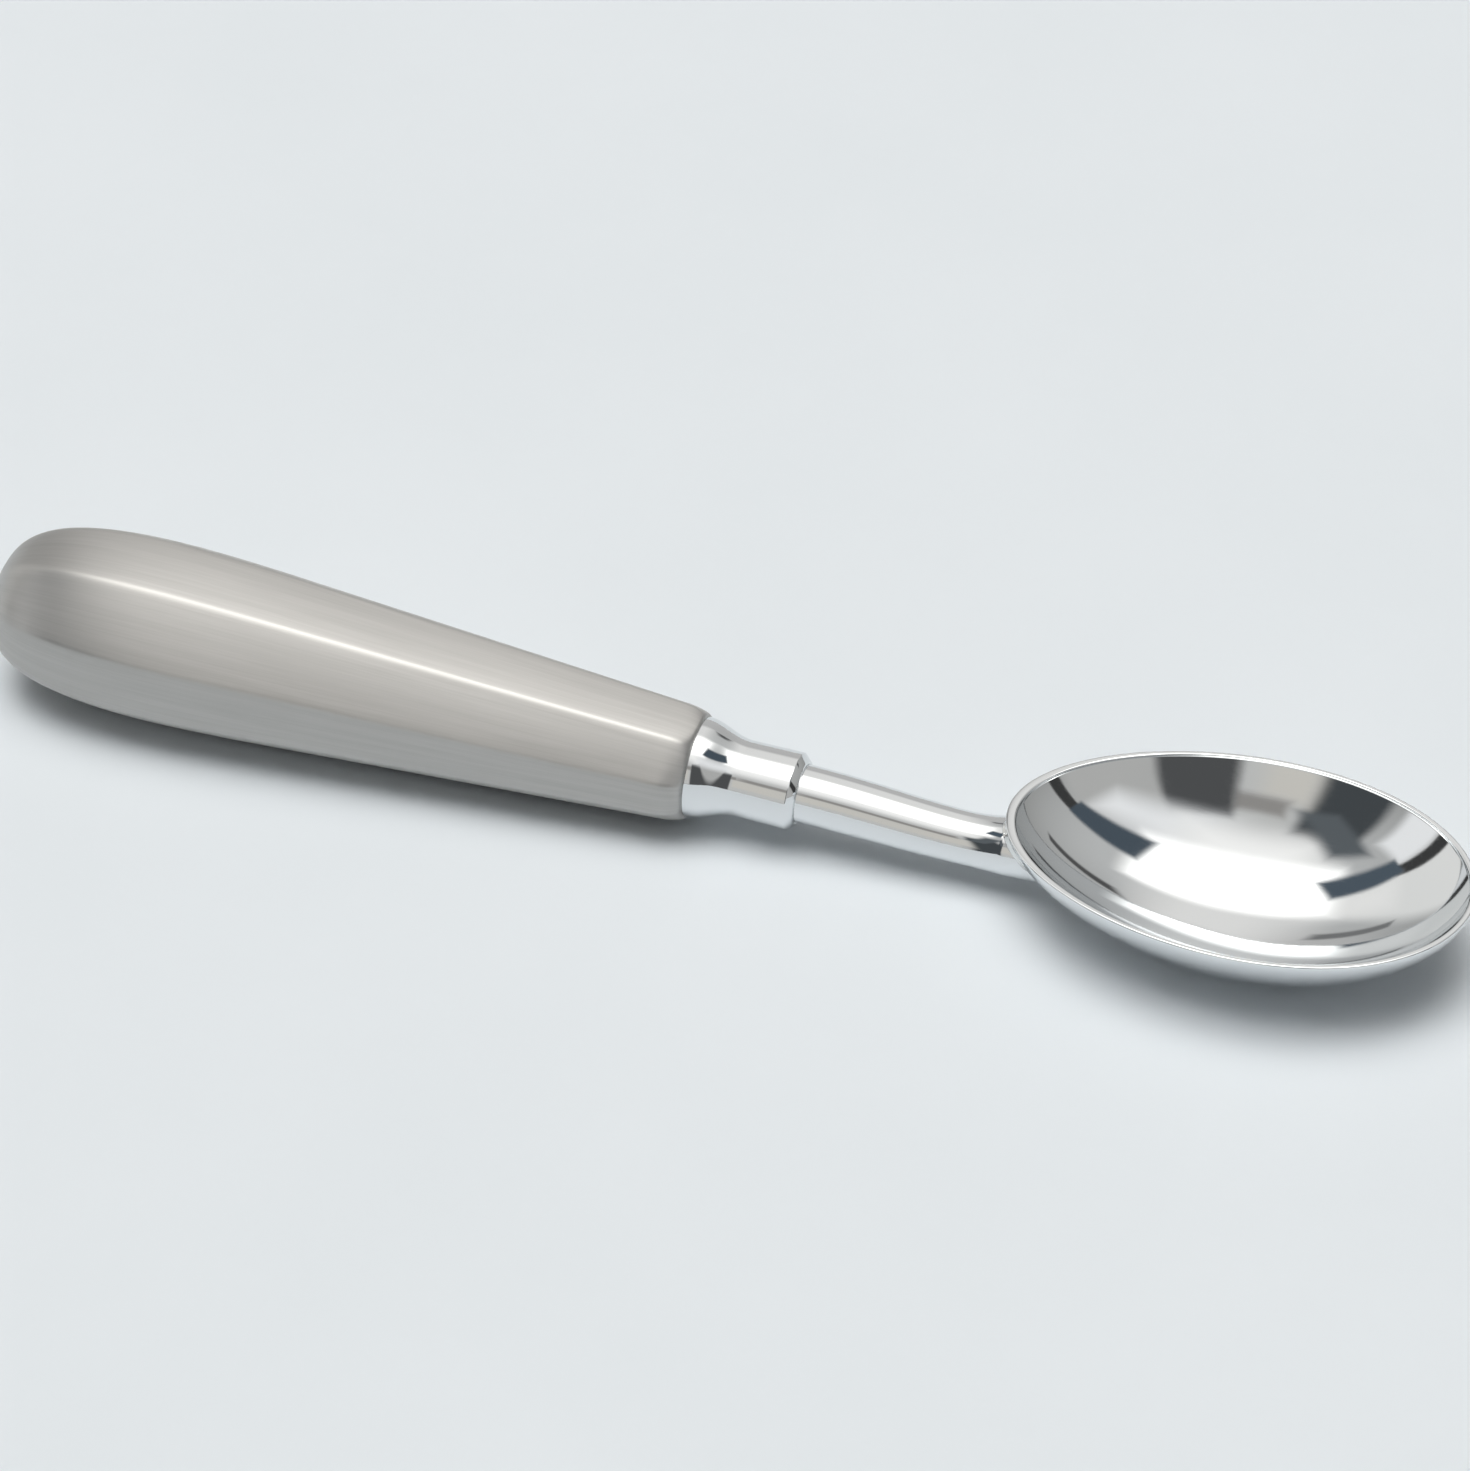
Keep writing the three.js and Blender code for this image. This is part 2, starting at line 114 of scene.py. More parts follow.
# Ferrule: the break is the small round between barrel and chamfer, as shares along and inwards
FERRULE_LENGTH = 13.8 * MM
FERRULE_FLARE_DIAMETER = 12.9 * MM
FERRULE_FLARE_LENGTH = 6.2 * MM
FERRULE_WAIST_DIAMETER = 9.8 * MM
FERRULE_NOSE_DIAMETER = 10.0 * MM
FERRULE_NOSE_CHAMFER = 0.9 * MM
FERRULE_NOSE_BREAK = 0.12 * MM
FERRULE_BREAK_POINTS = ((-1.0, 0.0), (-0.3, 0.1), (0.4, 0.5))
FERRULE_SOCKET_DEPTH = 1.5 * MM
SPIGOT_DIAMETER = 9.2 * MM
SPIGOT_LENGTH = 5.0 * MM
FLARE_STEPS = 40

# Shank and its tang
NECK_REACH = 26.7 * MM
AXIS_BELOW_RIM = 6.9 * MM
SHANK_BELOW_RIM = 7.3 * MM
SHANK_ROOT_DIAMETER = 7.5 * MM
SHANK_WAIST_DIAMETER = 6.8 * MM
SHANK_END_RISE = math.radians(1.0)
SHANK_BEND_SHARE = 0.4
SHANK_FLARE_REACH = 7.0 * MM
SHANK_FLARE_ABOVE = 0.75 * MM
SHANK_FLARE_BELOW = 0.1 * MM
SHANK_FLARE_POWER = 2.4
TANG_DIAMETER = 5.5 * MM
TANG_LENGTH = 42.0 * MM
TANG_TIP_CHAMFER = 0.8 * MM
SHANK_STEPS = 96
COPE_STEPS = 12

# Brazed fillet
BRAZE_LENGTH_ABOVE = 1.9 * MM
BRAZE_LENGTH_BELOW = 2.8 * MM
BRAZE_WIDTH_ABOVE = 2.5 * MM
BRAZE_WIDTH_BELOW = 0.6 * MM
BRAZE_CREASE = 0.5
BRAZE_STEPS = 24

# Turned gaps that show as a fine line, and how deep joined pieces reach into each other
SEAT_GAP = 0.08 * MM
JOIN_DEPTH = 0.3 * MM
ROUND_STEPS = 96
WALL_SEARCH_STEPS = 48

# Patterns of the surfaces. Real belt hairlines and buffing lines are a few hundredths of a millimetre apart;
# these are drawn coarser, so that they show in the render. A stretch is a line's length over its width.
HAIRLINE = 0.24 * MM
HAIRLINE_STRETCH = 90
HAIRLINE_DEPTH = 0.005 * MM
BELT_BAND = 1.6 * MM
BELT_BAND_STRETCH = 20
BUFF_STRETCH = 60
BUFF_DEPTH = 0.001 * MM
BUFF_LINE_SHEET = 0.2 * MM
BUFF_LINE_BAR = 0.25 * MM
BUFF_LINE_BRAZE = 0.3 * MM
POLISH_WAVE = 7 * MM
POLISH_WAVE_DEPTH = 0.014 * MM
POLISH_CLOUD = 14 * MM
RESIN_SPECK = 0.8 * MM
RESIN_SPECK_DEPTH = 0.05 * MM
FLOOR_MOTTLE = 60 * MM
FLOOR_HALF = 4.0

MATH = "ShaderNodeMath"
NOISE = "ShaderNodeTexNoise"
RANGE = "ShaderNodeMapRange"
BRUSH_MAP = "along_and_round"
ALONG_X = 0
ALONG_Y = 1


# Places on the spoon

bowl_low, bowl_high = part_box("bowl")
bowl_centre = Vector(((bowl_low.x + bowl_high.x) / 2, 0, bowl_low.z))
axis_direction = Vector((math.cos(HANDLE_PITCH), 0, -math.sin(HANDLE_PITCH)))
axis_at_rim = Vector((bowl_low.x, 0, bowl_high.z - AXIS_BELOW_RIM))
grip_origin = axis_at_rim - axis_direction * (NECK_REACH + FERRULE_LENGTH)
grip_place = Matrix.Translation(grip_origin) @ Matrix.Rotation(HANDLE_PITCH, 4, "Y")


def mix(a, b, share):
    return a + (b - a) * share


def smooth_step(share):
    share = min(1.0, max(0.0, share))
    return share * share * (3 - 2 * share)


# Node trees

def add_node(tree, kind, inputs=None, **settings):
    """One node with its settings; inputs holds constants, sockets, and nodes whose first output is meant."""
    node = tree.nodes.new(kind)
    for name, value in settings.items():
        setattr(node, name, value)
    for key, value in (inputs or {}).items():
        if isinstance(value, bpy.types.Node):
            value = value.outputs[0]
        if isinstance(value, bpy.types.NodeSocket):
            tree.links.new(value, node.inputs[key])
        else:
            node.inputs[key].default_value = value
    return node


def linear(hex_colour):
    """An sRGB hex value as a linear colour with alpha."""
    channels = [int(hex_colour[i:i + 2], 16) / 255 for i in (1, 3, 5)]
    return [c / 12.92 if c <= 0.04045 else ((c + 0.055) / 1.055) ** 2.4 for c in channels] + [1.0]


def new_material(name):
    material = bpy.data.materials.new(name)
    material.use_nodes = True
    material.node_tree.nodes.clear()
    return material, material.node_tree


def polished_stainless(name, pale, deep, line_axis, line_width, roughness):
    """Stainless steel buffed to a mirror, which shows its surroundings a little wavy.

    Faint buffing lines follow line_axis."""
    material, tree = new_material(name)
    place = add_node(tree, "ShaderNodeTexCoord").outputs["Object"]
    line_scale = [1 / line_width] * 3
    line_scale[line_axis] = 1 / (line_width * BUFF_STRETCH)
    along_lines = add_node(tree, "ShaderNodeMapping", {"Vector": place, "Scale": line_scale})
    lines = add_node(tree, NOISE, {"Vector": along_lines, "Scale": 1.0, "Detail": 3.0, "Roughness": 0.6})
    clouds = add_node(tree, NOISE,
                      {"Vector": place, "Scale": 1 / POLISH_CLOUD, "Detail": 2.0, "Roughness": 0.5})
    waves = add_node(tree, NOISE,
                     {"Vector": place, "Scale": 1 / POLISH_WAVE, "Detail": 2.0, "Roughness": 0.45})
    colour = add_node(tree, "ShaderNodeMix", {"Factor": clouds, "A": linear(deep), "B": linear(pale)},
                      data_type="RGBA")
    gloss = add_node(tree, RANGE,
                     {"Value": lines, "From Min": 0.35, "From Max": 0.75,
                      "To Min": roughness * 0.6, "To Max": roughness * 1.8})
    wavy = add_node(tree, "ShaderNodeBump",
                    {"Height": waves, "Strength": 1.0, "Distance": POLISH_WAVE_DEPTH})
    buffed = add_node(tree, "ShaderNodeBump",
                      {"Height": lines, "Strength": 1.0, "Distance": BUFF_DEPTH, "Normal": wavy})
    shader = add_node(tree, "ShaderNodeBsdfPrincipled",
                      {"Metallic": 1.0, "Base Color": colour.outputs["Result"],
                       "Roughness": gloss, "Normal": buffed})
    add_node(tree, "ShaderNodeOutputMaterial", {"Surface": shader})
    return material


def satin_stainless():
    """Stainless steel belted lengthwise to a satin: hairlines smear reflections, and the edges carry a
    painted highlight, a slightly paler colour set for how bright the edge highlight looks.
    """
    material, tree = new_material("satin_belted_stainless")
    place = add_node(tree, "ShaderNodeUVMap", uv_map=BRUSH_MAP)
    line_scale = (1 / (HAIRLINE * HAIRLINE_STRETCH), 1 / HAIRLINE, 1.0)
    along_lines = add_node(tree, "ShaderNodeMapping", {"Vector": place, "Scale": line_scale})
    lines = add_node(tree, NOISE, {"Vector": along_lines, "Scale": 1.0, "Detail": 4.0, "Roughness": 0.65})
    band_scale = (1 / (BELT_BAND * BELT_BAND_STRETCH), 1 / BELT_BAND, 1.0)
    along_bands = add_node(tree, "ShaderNodeMapping", {"Vector": place, "Scale": band_scale})
    bands = add_node(tree, NOISE, {"Vector": along_bands, "Scale": 1.0, "Detail": 3.0, "Roughness": 0.6})
    edge = add_node(tree, "ShaderNodeAttribute", attribute_name="edge").outputs["Fac"]
    tone = add_node(tree, MATH, {0: lines, 1: bands}, operation="ADD")
    tone_share = add_node(tree, RANGE, {"Value": tone, "From Min": 0.7, "From Max": 1.3})
    colour = add_node(tree, "ShaderNodeMix",
                      {"Factor": tone_share, "A": linear("#b1b0ae"), "B": linear("#bebdbb")},
                      data_type="RGBA")
    # Painted highlight: along the edges the colour goes to one tone, set for how bright the edge highlight
    # looks; the changed roughness there is rubbing
    painted_edge_highlight = add_node(tree, "ShaderNodeMix",
                      {"Factor": edge, "A": colour.outputs["Result"], "B": linear("#bab9b7")},
                      data_type="RGBA")
    gloss = add_node(tree, RANGE,
                     {"Value": lines, "From Min": 0.3, "From Max": 0.7, "To Min": 0.38, "To Max": 0.47})
    rubbed_gloss = add_node(tree, "ShaderNodeMix", {"Factor": edge, "A": gloss, "B": 0.4})
    hairlines = add_node(tree, "ShaderNodeBump",
                         {"Height": lines, "Strength": 1.0, "Distance": HAIRLINE_DEPTH})
    tangent = add_node(tree, "ShaderNodeTangent", direction_type="UV_MAP", uv_map=BRUSH_MAP)
    shader = add_node(tree, "ShaderNodeBsdfPrincipled",
                      {"Metallic": 1.0, "Base Color": painted_edge_highlight.outputs["Result"],
                       "Roughness": rubbed_gloss.outputs["Result"],
                       "Anisotropic": 0.65, "Anisotropic Rotation": 0.25,
                       "Normal": hairlines, "Tangent": tangent})
    add_node(tree, "ShaderNodeOutputMaterial", {"Surface": shader})
    return material


def bonding_resin():
    """Filled resin poured round the tang: dull, with specks of filler."""
    material, tree = new_material("cast_filled_resin")
    place = add_node(tree, "ShaderNodeTexCoord").outputs["Object"]
    specks = add_node(tree, NOISE,
                      {"Vector": place, "Scale": 1 / RESIN_SPECK, "Detail": 3.0, "Roughness": 0.6})
    colour = add_node(tree, "ShaderNodeMix",
                      {"Factor": specks, "A": linear("#8d826c"), "B": linear("#b7ac95")}, data_type="RGBA")
    grain = add_node(tree, "ShaderNodeBump",
                     {"Height": specks, "Strength": 0.6, "Distance": RESIN_SPECK_DEPTH})
    shader = add_node(tree, "ShaderNodeBsdfPrincipled",
                      {"Base Color": colour.outputs["Result"], "Roughness": 0.78, "Normal": grain})
    add_node(tree, "ShaderNodeOutputMaterial", {"Surface": shader})
    return material


# Meshes

def mesh_object(name, mesh, material):
    piece = bpy.data.objects.new(name, mesh)
    bpy.context.scene.collection.objects.link(piece)
    mesh.materials.clear()
    mesh.materials.append(material)
    mesh.shade_smooth()
    return piece


def close_mesh(build):
    bmesh.ops.recalc_face_normals(build, faces=build.faces)
    mesh = bpy.data.meshes.new("skin")
    build.to_mesh(mesh)
    build.free()
    return mesh


def loft(rings):
    """A closed skin over rings of equal count; a ring of one point is a pole, and an open end gets a fan."""
    build = bmesh.new()
    rows = [[build.verts.new(point) for point in ring] for ring in rings]
    for near, far in zip(rows, rows[1:]):
        count = max(len(near), len(far))
        for i in range(count):
            corners = [near[i % len(near)], near[(i + 1) % len(near)],
                       far[(i + 1) % len(far)], far[i % len(far)]]
            build.faces.new(list(dict.fromkeys(corners)))
    for row in (rows[0], rows[-1]):
        if len(row) > 1:
            hub = build.verts.new(sum((v.co for v in row), Vector()) / len(row))
            for i in range(len(row)):
                build.faces.new((row[i], row[(i + 1) % len(row)], hub))
    return close_mesh(build)


def ring_loft(sections):
    """A skin over closed sections that stand in a ring."""
    build = bmesh.new()
    rows = [[build.verts.new(point) for point in section] for section in sections]
    for near, far in zip(rows, rows[1:] + rows[:1]):
        for i in range(len(near)):
            after = (i + 1) % len(near)
            build.faces.new((near[i], near[after], far[after], far[i]))
    return close_mesh(build)


def circle_in_grip(station, radius):
    """A ring round the grip axis."""
    turns = [2 * math.pi * i / ROUND_STEPS for i in range(ROUND_STEPS)]
    return [grip_place @ Vector((station, radius * math.cos(turn), radius * math.sin(turn)))
            for turn in turns]


# Bowl

def bowl_tree():
    """The whole bowl by rule: outer wall, rounded lip and inner wall over an egg-shaped oval."""
    tree = bpy.data.node_groups.new("pressed_bowl", "GeometryNodeTree")
    measures = ("Tip Fullness", "Floor", "Lip", "Lip Side", "Lip End", "Lip End Gain",
                "Side Arc", "Side Arc Inside", "End Arc", "End Arc Inside")
    for kind, names in (("Vector", ("Half Size", "Centre")), ("Float", measures), ("Int", ("Around", "Up")),
                        ("Material", ("Material",))):
        for name in names:
            tree.interface.new_socket(name, in_out="INPUT", socket_type="NodeSocket" + kind)
    tree.interface.new_socket("Bowl", in_out="OUTPUT", socket_type="NodeSocketGeometry")
    given = add_node(tree, "NodeGroupInput").outputs

    # A flat sheet, whose X goes round the bowl and whose Y goes up the outer wall and down the inner one
    sheet = add_node(tree, "GeometryNodeMeshGrid",
                     {"Size X": 1.0, "Size Y": 1.0,
                      "Vertices X": given["Around"], "Vertices Y": given["Up"]})
    position = add_node(tree, "GeometryNodeInputPosition")
    here = add_node(tree, "ShaderNodeSeparateXYZ", {0: position}).outputs
    turn = add_node(tree, MATH, {0: here["X"], 1: 2 * math.pi}, operation="MULTIPLY")
    cos_turn = add_node(tree, MATH, {0: turn}, operation="COSINE")
    sin_turn = add_node(tree, MATH, {0: turn}, operation="SINE")

    # The climb of both walls, and the way over the lip between them
    lip_half = LIP_SHARE / 2
    off_middle = add_node(tree, MATH, {0: here["Y"]}, operation="ABSOLUTE")
    climb = add_node(tree, RANGE, {"Value": off_middle, "From Min": lip_half, "From Max": 0.5,
                                   "To Min": math.pi / 2, "To Max": 0.0})
    cos_climb = add_node(tree, MATH, {0: climb}, operation="COSINE")
    over = add_node(tree, RANGE, {"Value": here["Y"], "From Min": -lip_half, "From Max": lip_half,
                                  "To Min": 0.0, "To Max": math.pi})
    cos_over = add_node(tree, MATH, {0: over}, operation="COSINE")
    sin_over = add_node(tree, MATH, {0: over}, operation="SINE")
    wall_sign = add_node(tree, MATH, {0: cos_over}, operation="SIGN")
    wall_size = add_node(tree, MATH, {0: cos_over}, operation="ABSOLUTE")
    squared_size = add_node(tree, MATH, {0: wall_size, 1: LIP_SQUARENESS}, operation="POWER")
    corner = add_node(tree, MATH, {0: wall_sign, 1: squared_size}, operation="MULTIPLY")
    inward = add_node(tree, RANGE, {"Value": corner, "From Min": 1.0, "From Max": -1.0})
    squared_rise = add_node(tree, MATH, {0: sin_over, 1: LIP_SQUARENESS}, operation="POWER")
    lip_rise = add_node(tree, MATH, {0: given["Lip"], 1: squared_rise}, operation="MULTIPLY")

    # Lip width: widest at the handle end, narrowest along the sides
    endness = add_node(tree, MATH, {0: cos_turn, 1: cos_turn}, operation="MULTIPLY")
    end_width = add_node(tree, MATH, {0: cos_turn, 1: given["Lip End Gain"], 2: given["Lip End"]},
                         operation="MULTIPLY_ADD")
    lip_width = add_node(tree, MATH, {0: endness, 1: end_width, 2: given["Lip Side"]},
                         operation="MULTIPLY_ADD")
    inset = add_node(tree, MATH, {0: lip_width, 1: inward}, operation="MULTIPLY")

    # How far the arcs along and across have spread at this height
    share = add_node(tree, MATH, {0: 1.0, 1: cos_climb}, operation="SUBTRACT")
    spread = {}
    for way in ("End", "Side"):
        arc = add_node(tree, RANGE, {"Value": inward, "To Min": given[way + " Arc"],
                                     "To Max": given[way + " Arc Inside"]})
        cos_arc = add_node(tree, MATH, {0: arc}, operation="COSINE")
        sin_arc = add_node(tree, MATH, {0: arc}, operation="SINE")
        arc_height = add_node(tree, MATH, {0: 1.0, 1: cos_arc}, operation="SUBTRACT")
        risen = add_node(tree, MATH, {0: share, 1: arc_height}, operation="MULTIPLY")
        left = add_node(tree, MATH, {0: 1.0, 1: risen}, operation="SUBTRACT")
        left_square = add_node(tree, MATH, {0: left, 1: left}, operation="MULTIPLY")
        reach_square = add_node(tree, MATH, {0: 1.0, 1: left_square}, operation="SUBTRACT")
        reach = add_node(tree, MATH, {0: reach_square}, operation="SQRT")
        spread[way] = add_node(tree, MATH, {0: reach, 1: sin_arc}, operation="DIVIDE")

    # Place of each point, fuller towards the tip
    half = add_node(tree, "ShaderNodeSeparateXYZ", {0: given["Half Size"]}).outputs
    half_length = add_node(tree, MATH, {0: half["X"], 1: inset}, operation="SUBTRACT")
    end_way = add_node(tree, MATH, {0: cos_turn, 1: spread["End"]}, operation="MULTIPLY")
    along = add_node(tree, MATH, {0: half_length, 1: end_way}, operation="MULTIPLY")
    fullness = add_node(tree, MATH, {0: cos_turn, 1: given["Tip Fullness"], 2: 1.0},
                        operation="MULTIPLY_ADD")
    outer_width = add_node(tree, MATH, {0: half["Y"], 1: fullness}, operation="MULTIPLY")
    half_width = add_node(tree, MATH, {0: outer_width, 1: inset}, operation="SUBTRACT")
    side_way = add_node(tree, MATH, {0: sin_turn, 1: spread["Side"]}, operation="MULTIPLY")
    across = add_node(tree, MATH, {0: half_width, 1: side_way}, operation="MULTIPLY")
    lip_foot = add_node(tree, MATH, {0: half["Z"], 1: given["Lip"]}, operation="SUBTRACT")
    floor_rise = add_node(tree, MATH, {0: given["Floor"], 1: inward}, operation="MULTIPLY")
    depth = add_node(tree, MATH, {0: lip_foot, 1: floor_rise}, operation="SUBTRACT")
    below = add_node(tree, MATH, {0: depth, 1: cos_climb}, operation="MULTIPLY")
    wall_height = add_node(tree, MATH, {0: lip_foot, 1: below}, operation="SUBTRACT")
    height = add_node(tree, MATH, {0: wall_height, 1: lip_rise}, operation="ADD")
    local = add_node(tree, "ShaderNodeCombineXYZ", {"X": along, "Y": across, "Z": height})
    placed = add_node(tree, "ShaderNodeVectorMath", {0: local, 1: given["Centre"]}, operation="ADD")

    pressed = add_node(tree, "GeometryNodeSetPosition", {"Geometry": sheet, "Position": placed})
    closed = add_node(tree, "GeometryNodeMergeByDistance", {"Geometry": pressed, "Distance": BOWL_MERGE})
    real = add_node(tree, "GeometryNodeRealizeInstances", {0: closed})
    finished = add_node(tree, "GeometryNodeSetMaterial", {"Geometry": real, "Material": given["Material"]})
    add_node(tree, "NodeGroupOutput", {"Bowl": finished})
    return tree


def make_bowl(material):
    blank = bpy.data.objects.new("bowl_blank", bpy.data.meshes.new("bowl_blank"))
    bpy.context.scene.collection.objects.link(blank)
    tree = bowl_tree()
    pressing = blank.modifiers.new("pressing", "NODES")
    pressing.node_group = tree
    values = {
        "Half Size": (BOWL_LENGTH / 2, BOWL_WIDTH / 2, BOWL_DEPTH),
        "Centre": bowl_centre,
        "Tip Fullness": BOWL_TIP_FULLNESS,
        "Floor": BOWL_FLOOR,
        "Lip": LIP_HEIGHT,
        "Lip Side": LIP_WIDTH_SIDE,
        "Lip End": (LIP_WIDTH_HANDLE + LIP_WIDTH_TIP) / 2 - LIP_WIDTH_SIDE,
        "Lip End Gain": (LIP_WIDTH_TIP - LIP_WIDTH_HANDLE) / 2,
        "Side Arc": BOWL_SIDE_ARC,
        "Side Arc Inside": BOWL_SIDE_ARC_INSIDE,
        "End Arc": BOWL_END_ARC,
        "End Arc Inside": BOWL_END_ARC_INSIDE,
        "Around": BOWL_AROUND + 1,
        "Up": BOWL_UP + 1,
        "Material": material,
    }
    for item in tree.interface.items_tree:
        if item.in_out == "INPUT":
            pressing[item.identifier] = values[item.name]
    evaluated = blank.evaluated_get(bpy.context.evaluated_depsgraph_get())
    build = bmesh.new()
    build.from_mesh(bpy.data.meshes.new_from_object(evaluated))
    bpy.data.objects.remove(blank)
    return mesh_object("bowl_polished", close_mesh(build), material)


def arc_spread(share, arc):
    """How far an arc has spread, as a share of its half width, at a share of its height."""
    left = 1 - share * (1 - math.cos(arc))
    return math.sqrt(max(0.0, 1 - left * left)) / math.sin(arc)


def outside_bowl(point):
    """Above zero outside the bowl's outer wall."""
    local = point - bowl_centre
    share = min(1.0, max(BOWL_LEAST_SHARE, local.z / (BOWL_DEPTH - LIP_HEIGHT)))
    along = local.x / (BOWL_LENGTH / 2 * arc_spread(share, BOWL_END_ARC))
    fullness = 1 + BOWL_TIP_FULLNESS * min(1.0, max(-1.0, along))
    across = local.y / (BOWL_WIDTH / 2 * fullness * arc_spread(share, BOWL_SIDE_ARC))
    return along * along + across * across - 1


# Shank

shank_start = grip_place @ Vector((FERRULE_LENGTH, 0, 0))
shank_end = Vector((bowl_low.x, 0, bowl_high.z - SHANK_BELOW_RIM))
shank_end_direction = Vector((math.cos(SHANK_END_RISE), 0, math.sin(SHANK_END_RISE)))
shank_bend_reach = SHANK_BEND_SHARE * (shank_end - shank_start).length
shank_bend_start = shank_start + axis_direction * shank_bend_reach
shank_bend_end = shank_end - shank_end_direction * shank_bend_reach


def shank_path(share):
    """Point and direction on the bend, a cubic curve from the ferrule's nose to the bowl."""
    rest = 1 - share
    point = shank_start * rest ** 3
    point += shank_bend_start * (3 * rest * rest * share)
    point += shank_bend_end * (3 * rest * share * share)
    point += shank_end * share ** 3
    slope = (shank_bend_start - shank_start) * (rest * rest)
    slope += (shank_bend_end - shank_bend_start) * (2 * rest * share)
    slope += (shank_end - shank_bend_end) * (share * share)
    return point, slope.normalized()


def spoke(direction, radius, turn):
    across = Vector((0, 1, 0))
    up = direction.cross(across)
    return across * (radius * math.cos(turn)) + up * (radius * math.sin(turn))


def by_height(below, above, turn):
    """A value that changes from the underside of the shank to its top."""
    return mix(below, above, (1 + math.sin(turn)) / 2)


def shank_radius(share, short_of_end, turn):
    """Radius of the bar, which swells towards the bowl, mostly on top."""
    plain = mix(SHANK_ROOT_DIAMETER, SHANK_WAIST_DIAMETER, smooth_step(share)) / 2
    swell = max(0.0, 1 - short_of_end / SHANK_FLARE_REACH) ** SHANK_FLARE_POWER
    return plain + swell * by_height(SHANK_FLARE_BELOW, SHANK_FLARE_ABOVE, turn)


def wall_distance(radius, turn):
    """How far past the shank's end the bowl's outer wall is, along the shank, found by halving."""
    side = shank_end + spoke(shank_end_direction, radius, turn)
    outside = -BRAZE_LENGTH_BELOW
    inside = BOWL_LENGTH / 2
    for _ in range(WALL_SEARCH_STEPS):
        middle = (outside + inside) / 2
        if outside_bowl(side + shank_end_direction * middle) > 0:
            outside = middle
        else:
            inside = middle
    return outside


def wall_point(radius, turn, sunk=0.0, share=1.0, start=0.0):
    """The place at a share of the way from start to the bowl's outer wall, or to a depth sunk into it."""
    side = shank_end + spoke(shank_end_direction, radius, turn)
    return side + shank_end_direction * mix(start, wall_distance(radius, turn) + sunk, share)


def make_shank(material):
    """Tang, seat shoulder and bent bar, with its end coped to the back of the bowl."""
    seat = FERRULE_LENGTH - FERRULE_SOCKET_DEPTH + SEAT_GAP
    rings = [
        circle_in_grip(-TANG_LENGTH, TANG_DIAMETER / 2 - TANG_TIP_CHAMFER),
        circle_in_grip(-TANG_LENGTH + TANG_TIP_CHAMFER, TANG_DIAMETER / 2),
        circle_in_grip(seat, TANG_DIAMETER / 2),
        circle_in_grip(seat, SHANK_ROOT_DIAMETER / 2),
    ]
    turns = [2 * math.pi * k / ROUND_STEPS for k in range(ROUND_STEPS)]
    for i in range(SHANK_STEPS + 1):
        share = i / SHANK_STEPS
        centre, direction = shank_path(share)
        short_of_end = (shank_end - centre).length
        radii = [shank_radius(share, short_of_end, turn) for turn in turns]
        rings.append([centre + spoke(direction, radius, turn) for radius, turn in zip(radii, turns)])
    for i in range(COPE_STEPS):
        share = (i + 1) / COPE_STEPS
        rings.append([wall_point(shank_radius(1.0, 0.0, turn), turn, JOIN_DEPTH, share) for turn in turns])
    return mesh_object("shank_polished", loft(rings), material)


def make_braze(material):
    """A concave ring of filler from the shank up to the back of the bowl, with a crease where it starts."""
    sections = []
    for i in range(ROUND_STEPS):
        turn = 2 * math.pi * i / ROUND_STEPS
        inner = shank_radius(1.0, 0.0, turn)
        width = by_height(BRAZE_WIDTH_BELOW, BRAZE_WIDTH_ABOVE, turn)
        start = wall_distance(inner, turn) - by_height(BRAZE_LENGTH_BELOW, BRAZE_LENGTH_ABOVE, turn)
        first = shank_radius(1.0, max(0.0, -start), turn)
        section = []
        for k in range(BRAZE_STEPS + 1):
            along = math.sin(math.pi / 2 * k / BRAZE_STEPS)
            swell = mix(1 - math.sqrt(1 - along * along), along, BRAZE_CREASE)
            section.append(wall_point(mix(first, inner + width, swell), turn, 0.0, along, start))
        for share in (1.0, 0.5, 0.0):
            section.append(wall_point(inner - JOIN_DEPTH + width * share, turn, JOIN_DEPTH))
        section.append(wall_point(first - JOIN_DEPTH, turn, 0.0, 0.0, start))
        sections.append(section)
    return mesh_object("braze_fillet_polished", ring_loft(sections), material)


# Ferrule

def make_ferrule(material):
    """A turned collar: spigot, S-shaped flare, barrel, chamfered nose, nose socket and bore."""
    bore = TANG_DIAMETER / 2 + SEAT_GAP
    socket = SHANK_ROOT_DIAMETER / 2 + SEAT_GAP
    waist = FERRULE_WAIST_DIAMETER / 2
    nose = FERRULE_NOSE_DIAMETER / 2
    profile = [(-SPIGOT_LENGTH, bore), (-SPIGOT_LENGTH, SPIGOT_DIAMETER / 2), (0.0, SPIGOT_DIAMETER / 2)]
    for i in range(FLARE_STEPS + 1):
        share = i / FLARE_STEPS
        swell = 0.5 + 0.5 * math.cos(math.pi * share)
        profile.append((FERRULE_FLARE_LENGTH * share, mix(waist, FERRULE_FLARE_DIAMETER / 2, swell)))
    edge = FERRULE_LENGTH - FERRULE_NOSE_CHAMFER
    for along, inward in FERRULE_BREAK_POINTS:
        profile.append((edge + FERRULE_NOSE_BREAK * along, nose - FERRULE_NOSE_BREAK * inward))
    land = max(nose - FERRULE_NOSE_CHAMFER, socket + FERRULE_NOSE_BREAK)
    profile += [
        (FERRULE_LENGTH - FERRULE_NOSE_BREAK, land + FERRULE_NOSE_BREAK),
        (FERRULE_LENGTH, land),
        (FERRULE_LENGTH, socket),
        (FERRULE_LENGTH - FERRULE_SOCKET_DEPTH, socket),
        (FERRULE_LENGTH - FERRULE_SOCKET_DEPTH, bore),
    ]
    rows = [circle_in_grip(station, radius) for station, radius in profile]
    sections = [list(section) for section in zip(*rows)]
    return mesh_object("ferrule_polished", ring_loft(sections), material)


# Handle

